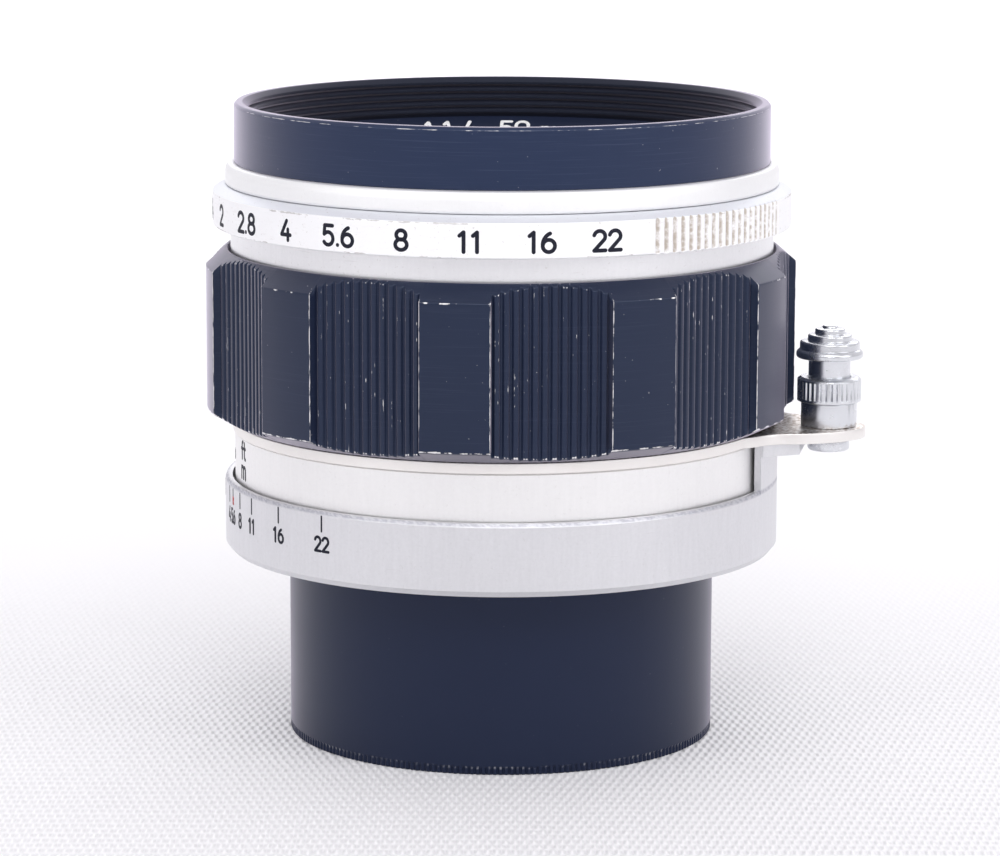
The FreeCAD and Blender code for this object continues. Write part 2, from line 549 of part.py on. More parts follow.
def make_plunger():
    housing = turned("plunger_housing", [
        ("rod_radius + 0.05", "arm_low"), ("housing_bore", "arm_low"), ("housing_bore", "housing_low"),
        ("housing_radius", "housing_low"), ("housing_radius", "housing_top"),
        ("housing_neck", "housing_top"), ("housing_neck", "neck_end"), ("housing_bore", "neck_end"),
        ("housing_bore", "housing_low + 0.3"), ("housing_bore - 0.3", "housing_low"),
        ("housing_bore - 0.3", "housing_floor"), ("rod_radius + 0.05", "housing_floor")])
    lock = turned("lock_collar", [
        ("lock_bore", "lock_low"), ("lock_radius", "lock_low"), ("lock_radius", "lock_top - 0.25"),
        ("lock_radius - 0.35", "lock_top"), ("housing_bore", "lock_top"), ("housing_bore", "neck_end + 0.06"),
        ("lock_bore", "neck_end + 0.06")])
    knurl = outline(new_sketch(lock, "XY_Plane", "lock_low + 0.3"), [
        ("lock_radius - 0.17", "0"), ("lock_radius + 0.3", "-0.35"), ("lock_radius + 0.3", "0.35")])
    repeat(lock, pocket(lock, knurl, "lock_top - lock_low - 0.7"), "36")
    stem = turned("plunger_stem", [
        ("0", "foot_low + 0.5"), ("rod_radius", "foot_low + 0.5"), ("rod_radius", "stem_low"),
        ("stem_radius", "stem_low"), ("stem_radius", "brim_low"), ("0", "brim_low")])
    button = turned("plunger_button", [
        ("0", "brim_low"), ("brim_radius - 0.15", "brim_low"), ("brim_radius", "brim_low + 0.15"),
        ("brim_radius", "39.7"), ("brim_radius - 0.2", "39.9"), ("3.0", "39.95"), ("3.0", "40.7"),
        ("2.85", "40.8"), ("2.22", "40.85"), ("2.22", "41.4"), ("2.1", "41.5"), ("1.5", "41.55"),
        ("1.5", "42.0"), ("1.4", "42.08"), ("0.8", "42.1"), ("0.78", "42.25"), ("0.6", "42.38"),
        ("0.3", "42.43"), ("0", "42.43")])
    foot = turned("plunger_foot", [
        ("rod_radius", "foot_low"), ("foot_radius - 0.15", "foot_low"), ("foot_radius", "foot_low + 0.15"),
        ("foot_radius", "foot_top - 0.15"), ("foot_radius - 0.15", "foot_top"), ("rod_radius", "foot_top")])
    slot = box_outline(new_sketch(foot, "XY_Plane", "foot_low - 1"), "-foot_radius - 1", "foot_radius + 1",
                       "-0.3", "0.3")
    pocket(foot, slot, "1.35")
    spring = new_body("plunger_spring")
    wire = circle(new_sketch(spring, "XZ_Plane"), "spring_mean", "housing_floor + wire_radius + 0.03",
                  "wire_radius")
    coil = spring.newObject("PartDesign::AdditiveHelix", "plunger_spring_coil")
    coil.Profile = wire
    coil.ReferenceAxis = (wire, ["V_Axis"])
    coil.Mode = "height-turns-growth"
    coil.Turns = 5
    coil.setExpression("Height", expr("stem_low - housing_floor - wire_radius * 2 - 0.06"))
    for body in (housing, lock, stem, button, foot, spring):
        on_plunger_axis(body)


make_rear_cap()
make_mount_flange()
make_dof_ring()
make_release_arm()
make_bearing_tube()
make_guide_key(1, 1)
make_guide_key(2, -1)
make_focus_sleeve()
make_distance_ring()
make_focus_grip()
make_barrel()
make_front_rings()
make_aperture_ring()
make_aperture_drive()
make_glass()
make_cells()
make_iris()
for blade in range(int(value("blade_count"))):
    make_iris_blade(blade)
make_plunger()
doc.recompute()

os.makedirs("parts", exist_ok=True)
for item in doc.Objects:
    if "Invalid" in item.State or "Error" in item.State:
        raise RuntimeError("%s is in state %s" % (item.Label, item.State))
    if item.TypeId != "PartDesign::Body":
        continue
    shape = item.Shape
    if shape.isNull() or not shape.isValid() or len(shape.Solids) != 1:
        raise RuntimeError("%s has no single valid solid" % item.Label)
    shape.exportStep("parts/%s.step" % item.Label)
    box = shape.BoundBox
    print("%-18s volume %9.2f  x %.2f..%.2f  y %.2f..%.2f  z %.2f..%.2f" % (
        item.Label, shape.Volume, box.XMin, box.XMax, box.YMin, box.YMax, box.ZMin, box.ZMax))
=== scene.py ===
"""Studio scene of a manual-focus lens that stands on its rear cap."""
import math

import bpy
import numpy as np
from mathutils import Matrix, Vector


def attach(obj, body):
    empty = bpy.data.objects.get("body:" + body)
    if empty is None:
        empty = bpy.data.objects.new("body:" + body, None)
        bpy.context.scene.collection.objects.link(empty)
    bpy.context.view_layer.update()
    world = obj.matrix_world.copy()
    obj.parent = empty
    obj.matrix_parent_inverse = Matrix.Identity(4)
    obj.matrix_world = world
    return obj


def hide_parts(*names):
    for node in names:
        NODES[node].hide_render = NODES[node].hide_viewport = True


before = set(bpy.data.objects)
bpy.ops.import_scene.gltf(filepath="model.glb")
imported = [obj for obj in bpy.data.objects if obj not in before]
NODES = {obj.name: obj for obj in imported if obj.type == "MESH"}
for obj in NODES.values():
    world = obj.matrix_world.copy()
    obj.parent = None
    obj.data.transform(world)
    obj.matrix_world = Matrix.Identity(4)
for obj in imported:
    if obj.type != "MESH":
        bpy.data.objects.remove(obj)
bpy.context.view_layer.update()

MM = 0.001

# Angles are azimuths in degrees, from -Y towards +X. Sizes below are millimetres.
PLUNGER_AZIMUTH = 80.5
PLUNGER_REACH = 33.35
PLUNGER = (PLUNGER_REACH * math.sin(math.radians(PLUNGER_AZIMUTH)),
           -PLUNGER_REACH * math.cos(math.radians(PLUNGER_AZIMUTH)))
INDEX_AZIMUTH = -85.0
STOP_STEP = 13.12       # between neighbouring stops on the aperture ring
DEPTH_STEP = 2.12       # on the depth scale, for each unit of f-number
FOCAL = 50.0
FOCUS_LEAD = 5.6        # extension for a full turn of the focusing ring

CAMERA_PLACE = (0.0, -0.41783, 0.10469)
CAMERA_AIM = (0.0, 0.0, 0.03081)
CAMERA_ROLL = 0.16
LAMP_AIM = (0, 0, 0.04)


# ---------------------------------------------------------------- camera, light and floor

def make_camera():
    data = bpy.data.cameras.new("camera")
    data.lens = 149.84
    data.sensor_width = 36.0
    data.shift_x = -0.0015
    data.clip_start = 0.02
    data.clip_end = 20.0
    camera = bpy.data.objects.new("camera", data)
    bpy.context.scene.collection.objects.link(camera)
    camera.location = CAMERA_PLACE
    aim = Vector(CAMERA_AIM) - camera.location
    turn = aim.to_track_quat("-Z", "Y").to_matrix()
    camera.rotation_euler = (turn @ Matrix.Rotation(math.radians(CAMERA_ROLL), 3, "Z")).to_euler()
    bpy.context.scene.camera = camera


def soft_light(name, place, target, size, power):
    data = bpy.data.lights.new(name, "AREA")
    data.shape = "RECTANGLE"
    data.size, data.size_y = size
    data.energy = power
    lamp = bpy.data.objects.new(name, data)
    bpy.context.scene.collection.objects.link(lamp)
    lamp.location = place
    lamp.rotation_euler = (Vector(target) - lamp.location).to_track_quat("-Z", "Y").to_euler()


def make_studio():
    world = bpy.data.worlds.new("studio")
    world.use_nodes = True
    tree = world.node_tree
    sky = tree.nodes["Background"]
    place = tree.nodes.new("ShaderNodeTexCoord")
    parts = tree.nodes.new("ShaderNodeSeparateXYZ")
    ramp = tree.nodes.new("ShaderNodeMapRange")
    tree.links.new(place.outputs["Generated"], parts.inputs[0])
    tree.links.new(parts.outputs[1], ramp.inputs["Value"])
    tree.links.new(ramp.outputs["Result"], sky.inputs["Strength"])
    for name, number in (("From Min", -0.9), ("From Max", 0.9), ("To Min", 0.50), ("To Max", 0.90)):
        ramp.inputs[name].default_value = number
    sky.inputs["Color"].default_value = (0.975, 0.955, 1.0, 1)
    bpy.context.scene.world = world
    bpy.context.scene.view_settings.view_transform = "Standard"
    soft_light("front", (0.04, -0.75, 0.62), LAMP_AIM, (0.45, 0.35), 2.15)
    soft_light("front_left", (-0.62, -0.45, 0.42), LAMP_AIM, (0.5, 0.5), 1.0)
    soft_light("front_right", (0.62, -0.45, 0.42), LAMP_AIM, (0.5, 0.5), 1.6)
    soft_light("foot_fill", (0.0, -0.20, 0.32), (0, -0.03, 0.0), (0.35, 0.12), 0.17)
    soft_light("back_top", (0.0, 0.85, 0.5), (0, 0.85, 0.0), (1.1, 0.5), 5.0)


# ---------------------------------------------------------------- shader helper

class Shader:
    """A small wrapper that builds node graphs; values are sockets or plain numbers."""

    def __init__(self, name):
        self.mat = bpy.data.materials.new(name)
        self.mat.use_nodes = True
        self.tree = self.mat.node_tree
        self.bsdf = self.tree.nodes["Principled BSDF"]
        self.place = self.add("ShaderNodeTexCoord").outputs["Object"]
        self.x, self.y, self.z = self.split(self.place)
        self.radius = self.math("SQRT", self.math("ADD", self.math("MULTIPLY", self.x, self.x),
                                                  self.math("MULTIPLY", self.y, self.y)))

    def add(self, kind, **settings):
        node = self.tree.nodes.new(kind)
        for key, setting in settings.items():
            setattr(node, key, setting)
        return node

    def feed(self, socket, value):
        if isinstance(value, bpy.types.NodeSocket):
            self.tree.links.new(value, socket)
        else:
            socket.default_value = value

    def split(self, vector):
        node = self.add("ShaderNodeSeparateXYZ")
        self.feed(node.inputs[0], vector)
        return node.outputs[0], node.outputs[1], node.outputs[2]

    def join(self, x, y, z):
        node = self.add("ShaderNodeCombineXYZ")
        for socket, value in zip(node.inputs, (x, y, z)):
            self.feed(socket, value)
        return node.outputs[0]

    def math(self, kind, a, b=None, c=None, clamp=False):
        node = self.add("ShaderNodeMath", operation=kind, use_clamp=clamp)
        for socket, value in zip(node.inputs, (a, b, c)):
            if value is not None:
                self.feed(socket, value)
        return node.outputs[0]

    def near(self, value, centre, width):
        """1 at centre, 0 at width away and beyond."""
        gap = self.math("ABSOLUTE", self.math("SUBTRACT", value, centre))
        return self.math("SUBTRACT", 1.0, self.math("DIVIDE", gap, width), clamp=True)

    def step(self, value, low, high):
        """0 below low, 1 above high, smooth between."""
        node = self.add("ShaderNodeMapRange", interpolation_type="SMOOTHSTEP")
        for name, number in (("Value", value), ("From Min", low), ("From Max", high)):
            self.feed(node.inputs[name], number)
        return node.outputs["Result"]

    def stretch(self, along, around, up):
        """Place scaled by cycles per metre: outwards, round the circumference and along Z."""
        angle = self.math("ARCTAN2", self.y, self.x)
        arc = self.math("MULTIPLY", angle, self.radius)
        return self.join(self.math("MULTIPLY", arc, around), self.math("MULTIPLY", self.z, up),
                         self.math("MULTIPLY", self.radius, along))

    def scaled(self, factor):
        node = self.add("ShaderNodeVectorMath", operation="SCALE")
        self.feed(node.inputs[0], self.place)
        node.inputs["Scale"].default_value = factor
        return node.outputs[0]

    def noise(self, vector, detail=3.0):
        node = self.add("ShaderNodeTexNoise")
        self.feed(node.inputs["Vector"], vector)
        node.inputs["Scale"].default_value = 1.0
        node.inputs["Detail"].default_value = detail
        node.inputs["Roughness"].default_value = 0.55
        return node.outputs[0]

    def mix(self, factor, first, second):
        """A colour between two colours."""
        node = self.add("ShaderNodeMix", data_type="RGBA")
        self.feed(node.inputs[0], factor)
        self.feed(node.inputs[6], first)
        self.feed(node.inputs[7], second)
        return node.outputs[2]

    def blend(self, factor, first, second):
        """A number between two numbers."""
        node = self.add("ShaderNodeMix", data_type="FLOAT")
        self.feed(node.inputs[0], factor)
        self.feed(node.inputs[2], first)
        self.feed(node.inputs[3], second)
        return node.outputs[0]

    def bump(self, height, distance, strength=1.0):
        node = self.add("ShaderNodeBump")
        node.inputs["Strength"].default_value = strength
        node.inputs["Distance"].default_value = distance
        self.feed(node.inputs["Height"], height)
        self.feed(self.bsdf.inputs["Normal"], node.outputs[0])

    def channels(self, attribute):
        """The red, green and blue of a vertex colour."""
        node = self.add("ShaderNodeAttribute", attribute_name=attribute)
        parts = self.add("ShaderNodeSeparateColor")
        self.feed(parts.inputs[0], node.outputs["Color"])
        return parts.outputs

    def set(self, **values):
        names = {"color": "Base Color", "rough": "Roughness", "metal": "Metallic",
                 "specular": "Specular IOR Level", "specular_tint": "Specular Tint",
                 "sheen": "Sheen Weight", "sheen_rough": "Sheen Roughness", "sheen_tint": "Sheen Tint",
                 "ior": "IOR", "clear": "Transmission Weight"}
        for key, value in values.items():
            self.feed(self.bsdf.inputs[names[key]], value)


def rgb(r, g, b):
    return (r, g, b, 1.0)


def floor_material():
    """Pale woven paper whose weave fades out behind the object."""
    s = Shader("floor_paper")
    wander = s.math("MULTIPLY", s.noise(s.scaled(300.0)), 1.6)
    weave = s.math("MULTIPLY", s.math("SINE", s.math("ADD", s.math("MULTIPLY", s.x, 7300.0), wander)),
                   s.math("SINE", s.math("ADD", s.math("MULTIPLY", s.y, 1850.0), wander)))
    near = s.math("SUBTRACT", 1.0, s.step(s.y, -0.03, 0.10))
    weave = s.math("MULTIPLY", weave, near)
    s.bump(s.math("ADD", weave, s.math("MULTIPLY", s.noise(s.scaled(2500.0)), near)), 0.00016, 0.7)
    # The weave's hollows are painted darker as painted shade, which fades with the weave behind the object.
    weave_hollow_shade = s.math("MULTIPLY", s.math("SUBTRACT", 1.0, weave), 0.5)
    s.set(color=s.mix(weave_hollow_shade, rgb(0.96, 0.955, 0.965), rgb(0.83, 0.825, 0.84)), rough=0.85)
    return s.mat


def satin_metal(name, color, rough, tint, lines=0.5, grime=0.15, edges=(), metal=0.9, mottle=0.35):
    """Turned satin metal: fine lines around the axis, faint scratches and grime, and at the given edges crumbled
    wear with painted shade that dims the edge's highlight.
    """
    s = Shader(name)
    turning = s.noise(s.stretch(60.0, 120.0, 16000.0), 4.0)
    cloud = s.noise(s.scaled(140.0), 4.0)
    fleck = s.step(s.noise(s.scaled(2600.0), 2.0), 0.66, 0.72)
    scratch = s.step(s.noise(s.stretch(100.0, 260.0, 4200.0), 2.0), 0.70, 0.76)
    dark = s.math("MULTIPLY", s.math("ADD", fleck, scratch, clamp=True), grime)
    grain = s.noise(s.scaled(3300.0), 2.0)
    brushed = s.noise(s.stretch(80.0, 2600.0, 260.0), 3.0)
    tone = s.mix(cloud, color, tint)
    dull = tuple(0.86 * part for part in color[:3]) + (1.0,)
    tone = s.mix(s.math("MULTIPLY", s.math("ADD", grain, brushed), mottle), tone, dull)
    worn = s.mix(dark, tone, rgb(0.32, 0.29, 0.25))
    rough_now = s.math("ADD", rough, s.math("MULTIPLY", s.math("SUBTRACT", cloud, 0.5), 0.18))
    if edges:
        # At the given edges the colour is painted darker grey in crumbled patches: partly wear, partly painted shade
        # that dims the edge's highlight.
        crumbs = s.step(s.noise(s.stretch(400.0, 2300.0, 3800.0), 3.0), 0.40, 0.60)
        near_edge = s.math("MULTIPLY", edge_mask(s, edges, 0.34), 1.6, clamp=True)
        edge_wear_and_shade = s.math("MULTIPLY", near_edge, s.math("ADD", 0.45, s.math("MULTIPLY", crumbs, 0.5)))
        worn = s.mix(edge_wear_and_shade, worn, rgb(0.50, 0.50, 0.55))
        rough_now = s.blend(edge_wear_and_shade, rough_now, 0.6)
    s.bump(s.math("ADD", turning, s.math("MULTIPLY", grain, 0.6)), 0.000012, lines)
    s.set(color=worn, metal=metal, rough=rough_now)
    return s.mat


def edge_mask(s, corners, width):
    """1 at the given (radius, z) corners of a turned part, 0 at width away and beyond; millimetres."""
    total = None
    for radius, z in corners:
        dr = s.math("SUBTRACT", s.radius, radius * MM)
        dz = s.math("SUBTRACT", s.z, z * MM)
        gap = s.math("SQRT", s.math("ADD", s.math("MULTIPLY", dr, dr), s.math("MULTIPLY", dz, dz)))
        mask = s.math("SUBTRACT", 1.0, s.math("DIVIDE", gap, width * MM), clamp=True)
        total = mask if total is None else s.math("MAXIMUM", total, mask)
    return total


def black_enamel(name, corners=(), attribute=None, sheen=0.75, top=None, lift=1.0):
    """Semi-gloss navy-black enamel over bright alloy, worn through at its edges.
    top is the height of the rim's flat top face, which is painted paler as a painted reflection, and lift brightens
    the enamel."""
    s = Shader(name)
    fine = s.noise(s.scaled(3800.0), 3.0)
    patch = s.noise(s.scaled(900.0), 3.0)
    smear = s.noise(s.scaled(90.0), 4.0)
    hairline_and_streak_highlight = s.noise(s.stretch(120.0, 110.0, 9000.0), 3.0)
    base = s.mix(smear, rgb(0.0036 * lift, 0.0092 * lift, 0.0285 * lift),
                 rgb(0.0062 * lift, 0.0128 * lift, 0.037 * lift))
    # Hairlines painted lighter: partly fine scratches, partly painted streak highlights.
    base = s.mix(s.step(hairline_and_streak_highlight, 0.54, 0.80), base, rgb(0.016 * lift, 0.023 * lift, 0.050 * lift))
    speck = s.step(s.noise(s.scaled(3100.0), 1.0), 0.785, 0.815)
    metal = s.math("MULTIPLY", speck, 0.30)
    if corners:
        edge = edge_mask(s, corners, 0.13)
        broken = s.step(s.math("MULTIPLY", edge, s.math("ADD", patch, 0.22)), 0.50, 0.64)
        metal = s.math("MAXIMUM", metal, s.math("MULTIPLY", broken, 0.8))
    if attribute:
        side, corner, crest = s.channels(attribute)
        broad = s.noise(s.stretch(120.0, 300.0, 120.0), 2.0)
        streak = s.noise(s.stretch(200.0, 5200.0, 900.0), 3.0)
        line = s.math("ADD", streak, s.math("MULTIPLY", broad, 0.3))
        line = s.step(s.math("MULTIPLY", side, line), 0.52, 0.62)
        nick = s.math("ADD", patch, s.math("MULTIPLY", broad, 0.25))
        nick = s.step(s.math("MULTIPLY", corner, nick), 0.57, 0.64)
        dash = s.math("ADD", streak, s.math("MULTIPLY", broad, 0.35))
        dash = s.step(s.math("MULTIPLY", crest, dash), 0.82, 0.88)
        end = s.math("MULTIPLY", s.math("MULTIPLY", crest, corner), s.math("ADD", patch, 0.2))
        end = s.step(end, 0.40, 0.50)
        for mask in (line, nick, dash, end):
            metal = s.math("MAXIMUM", metal, mask)
    if top:
        # The rim's flat top face is painted paler: a painted reflection of the bright surroundings.
        base = s.mix(s.step(s.z, (top - 0.03) * MM, top * MM), base, rgb(0.115, 0.108, 0.150))
    worn = s.mix(metal, base, rgb(0.80, 0.79, 0.79))
    gloss = s.blend(metal, s.math("ADD", 0.27, s.math("MULTIPLY", smear, 0.14)), 0.38)
    if top:
        # Inside the rim's bore the enamel is painted much darker: painted shade in the hollow.
        beyond_bore_shade = s.step(s.radius, 26.06 * MM, 26.14 * MM)
        worn = s.mix(beyond_bore_shade, rgb(0.0016, 0.0032, 0.012), worn)
        gloss = s.blend(beyond_bore_shade, 0.62, gloss)
    skin = s.math("ADD", s.math("MULTIPLY", fine, 0.4), s.math("MULTIPLY", hairline_and_streak_highlight, 0.5))
    s.bump(s.math("SUBTRACT", skin, metal), 0.000012, 0.5)
    s.set(color=worn, metal=s.math("MULTIPLY", metal, 0.7), rough=gloss, specular=0.5,
          specular_tint=rgb(0.70, 0.78, 1.0), sheen=sheen, sheen_rough=0.34, sheen_tint=rgb(0.92, 0.84, 1.0))
    return s.mat


def cap_plastic():
    """Black moulded plastic with scuffs, dust and painted highlights on the tips of its knurl."""
    s = Shader("cap_plastic_black")
    grain = s.noise(s.scaled(5200.0), 3.0)
    haze = s.noise(s.scaled(60.0), 4.0)
    scuff = s.step(s.noise(s.stretch(100.0, 700.0, 1500.0), 2.0), 0.77, 0.80)
    dust = s.step(s.noise(s.scaled(3300.0), 1.0), 0.80, 0.83)
    color = s.mix(haze, rgb(0.0036, 0.0082, 0.0255), rgb(0.0054, 0.0106, 0.031))
    # Pale tips on the knurl are painted highlights, placed by the first channel of the wear colour.
    painted_tip_highlight = s.math("MULTIPLY", s.channels("wear")[0], s.step(s.noise(s.scaled(1500.0), 2.0), 0.44, 0.72))
    pale = s.math("MAXIMUM", s.math("MULTIPLY", s.math("ADD", scuff, dust, clamp=True), 0.12),
                  s.math("MULTIPLY", painted_tip_highlight, 0.5))
    color = s.mix(pale, color, rgb(0.42, 0.42, 0.44))
    s.bump(grain, 0.00001, 0.35)
    s.set(color=color, rough=s.math("ADD", 0.30, s.math("MULTIPLY", haze, 0.12)), specular=0.45,
          specular_tint=rgb(0.66, 0.72, 1.0), sheen=0.5, sheen_rough=0.28, sheen_tint=rgb(0.92, 0.84, 1.0))
    return s.mat


def nickel_plate():
    """Arm plate: warm nickel with a browned, pitted upper face."""
    s = Shader("nickel_plate_warm")
    pits = s.noise(s.scaled(2400.0), 4.0)
    cloud = s.noise(s.scaled(260.0), 4.0)
    top = s.step(s.z, 32.16 * MM, 32.195 * MM)
    stain = s.math("MULTIPLY", top, s.step(pits, 0.38, 0.62))
    color = s.mix(cloud, rgb(0.86, 0.83, 0.80), rgb(0.94, 0.92, 0.90))
    color = s.mix(stain, color, rgb(0.42, 0.35, 0.30))
    s.bump(pits, 0.00002, 0.5)
    s.set(color=color, metal=s.blend(stain, 0.8, 1.0), rough=s.blend(stain, 0.38, 0.45))
    return s.mat


def turned_steel():
    """Bright steel with fine turning marks."""
    s = Shader("turned_steel")
    rings = s.noise(s.join(s.math("MULTIPLY", s.x, 200.0), s.math("MULTIPLY", s.y, 200.0),
                           s.math("MULTIPLY", s.z, 14000.0)), 3.0)
    cloud = s.noise(s.scaled(700.0), 3.0)
    speck = s.step(s.noise(s.scaled(5200.0), 2.0), 0.68, 0.76)
    color = s.mix(cloud, rgb(0.68, 0.70, 0.73), rgb(0.82, 0.83, 0.86))
    color = s.mix(s.math("MULTIPLY", speck, 0.5), color, rgb(0.30, 0.27, 0.24))
    s.bump(rings, 0.000007, 0.5)
    s.set(color=color, metal=1.0, rough=s.math("ADD", 0.20, s.math("MULTIPLY", cloud, 0.12)))
    return s.mat


def plain_metal(name, color, rough):
    """Turned metal of the inner parts."""
    s = Shader(name)
    cloud = s.noise(s.scaled(500.0), 3.0)
    dim = tuple(0.75 * part for part in color[:3]) + (1.0,)
    s.bump(s.noise(s.stretch(60.0, 200.0, 9000.0), 3.0), 0.00001, 0.4)
    s.set(color=s.mix(cloud, dim, color), metal=1.0, rough=s.math("ADD", rough, s.math("MULTIPLY", cloud, 0.1)))
    return s.mat


def coated_glass():
    s = Shader("coated_glass")
    haze = s.noise(s.scaled(300.0), 2.0)
    s.set(color=s.mix(haze, rgb(0.93, 0.95, 1.0), rgb(1.0, 0.98, 0.94)), rough=0.02, clear=1.0, ior=1.55,
          specular=0.15, specular_tint=rgb(0.88, 0.74, 1.0))
    return s.mat


def ink(name, color, rough=0.5):
    """Paint in the engraved figures, a little worn."""
    s = Shader(name)
    wear = s.noise(s.scaled(3500.0), 3.0)
    pale = tuple(min(1.0, part * 1.4 + 0.006) for part in color[:3]) + (1.0,)
    s.set(color=s.mix(s.step(wear, 0.52, 0.75), color, pale), rough=rough, specular=0.2)
    return s.mat


# ---------------------------------------------------------------- mesh helper

def new_piece(name, verts, faces, material, body, smooth=True, colors=None):
    """A mesh object that rides on a body; colors become the vertex colour "wear"."""
    mesh = bpy.data.meshes.new(name)
    mesh.from_pydata([tuple(v) for v in verts], [], faces)
    mesh.polygons.foreach_set("use_smooth", [smooth] * len(mesh.polygons))
    if colors is not None:
        layer = mesh.color_attributes.new("wear", "FLOAT_COLOR", "POINT")
        layer.data.foreach_set("color", np.asarray(colors, np.float32).ravel())
    mesh.update()
    piece = bpy.data.objects.new(name, mesh)
    bpy.context.scene.collection.objects.link(piece)
    mesh.materials.append(material)
    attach(piece, body)
    return piece


def loft(name, radii, heights, angles, material, body, colors=None, centre=(0.0, 0.0)):
    """Closed ring mesh: rows of angles, columns of profile points, both wrapping round.
    radii and heights are (angle count, profile count) arrays in millimetres."""
    turn = np.radians(angles)[:, None]
    x = (centre[0] + radii * np.sin(turn)) * MM
    y = (centre[1] - radii * np.cos(turn)) * MM
    verts = np.stack([x, y, heights * MM], axis=-1).reshape(-1, 3)
    rows, count = radii.shape
    i, j = np.meshgrid(np.arange(rows), np.arange(count), indexing="ij")
    k, m = (i + 1) % rows, (j + 1) % count
    faces = np.stack([i * count + j, k * count + j, k * count + m, i * count + m], axis=-1).reshape(-1, 4)
    piece = new_piece(name, verts.tolist(), faces.tolist(), material, body, colors=colors)
    keep = piece.modifiers.new("even_shading", "WEIGHTED_NORMAL")
    keep.keep_sharp = True
    keep.weight = 80
    return piece


def rounded(profile, steps=4):
    """(radius, height, bevel) corners of a closed profile, each corner rounded by its bevel."""
    points = []
    count = len(profile)
    for index, (r, z, bevel) in enumerate(profile):
        here = np.array((r, z))
        back = np.array(profile[index - 1][:2]) - here
        ahead = np.array(profile[(index + 1) % count][:2]) - here
        if bevel <= 0:
            points.append(here)
            continue
        reach_back = min(bevel, 0.45 * np.linalg.norm(back))
        reach_ahead = min(bevel, 0.45 * np.linalg.norm(ahead))
        start = here + back / np.linalg.norm(back) * reach_back
        end = here + ahead / np.linalg.norm(ahead) * reach_ahead
        for t in np.linspace(0, 1, steps + 1):
            points.append((1 - t) ** 2 * start + 2 * t * (1 - t) * here + t ** 2 * end)
    return np.array(points)


def lathe(name, profile, material, body, segments=400, centre=(0.0, 0.0)):
    """Turns a profile of (radius, height, bevel) corners round a vertical axis at centre."""
    points = rounded(profile)
    angles = np.arange(segments) * 360.0 / segments
    radii = np.tile(points[:, 0], (segments, 1))
    heights = np.tile(points[:, 1], (segments, 1))
    return loft(name, radii, heights, angles, material, body, centre=centre)


# ---------------------------------------------------------------- focusing grip

# Smooth lands alternate with hollows of fine ridges. LAND_HALF and LAND_AZ are degrees.
LAND_R, LAND_HALF, LAND_AZ, LOBES = 29.9, 6.67, 27.33, 10
RIDGES, RIDGE_DEEP, RIDGE_MID, RIDGE_END = 12, 0.27, 28.3, 28.68


def lobe_outline():
    """(angle from the land's centre, radius, side wear, crest wear) over one 36 degree lobe."""
    edge = ((0.0, 0.10, 0.2), (0.08, 0.03, 1.0), (0.18, 0.0, 0.85), (0.30, 0.0, 0.0))
    land = [(-LAND_HALF + inset, drop, side) for inset, drop, side in edge]
    land += [(angle, 0.0, 0.0) for angle in (-4.0, -2.0, 0.0, 2.0, 4.0)]
    land += [(LAND_HALF - inset, drop, side) for inset, drop, side in edge[::-1]]
    rows = [(angle, LAND_R - drop, side, 0.0) for angle, drop, side in land]
    half = 180.0 / LOBES - LAND_HALF
    reach = RIDGE_END * math.tan(math.radians(half))
    shape = ((0.0, 1.0, 0.0), (0.10, 1.0, 0.0), (0.19, 0.62, 0.0), (0.27, 0.10, 0.6), (0.33, 0.0, 1.0),
             (0.52, -0.04, 0.8), (0.71, 0.0, 1.0), (0.77, 0.10, 0.6), (0.85, 0.62, 0.0), (0.94, 1.0, 0.0))
    for ridge in range(RIDGES):
        for share, deep, crest in shape:
            across = 2.0 * (ridge + share) / RIDGES - 1.0
            x = RIDGE_MID + (RIDGE_END - RIDGE_MID) * across * across - deep * RIDGE_DEEP
            y = reach * across * 0.985
            rows.append((18.0 + math.degrees(math.atan2(y, x)), math.hypot(x, y), 0.0, crest))
    return rows


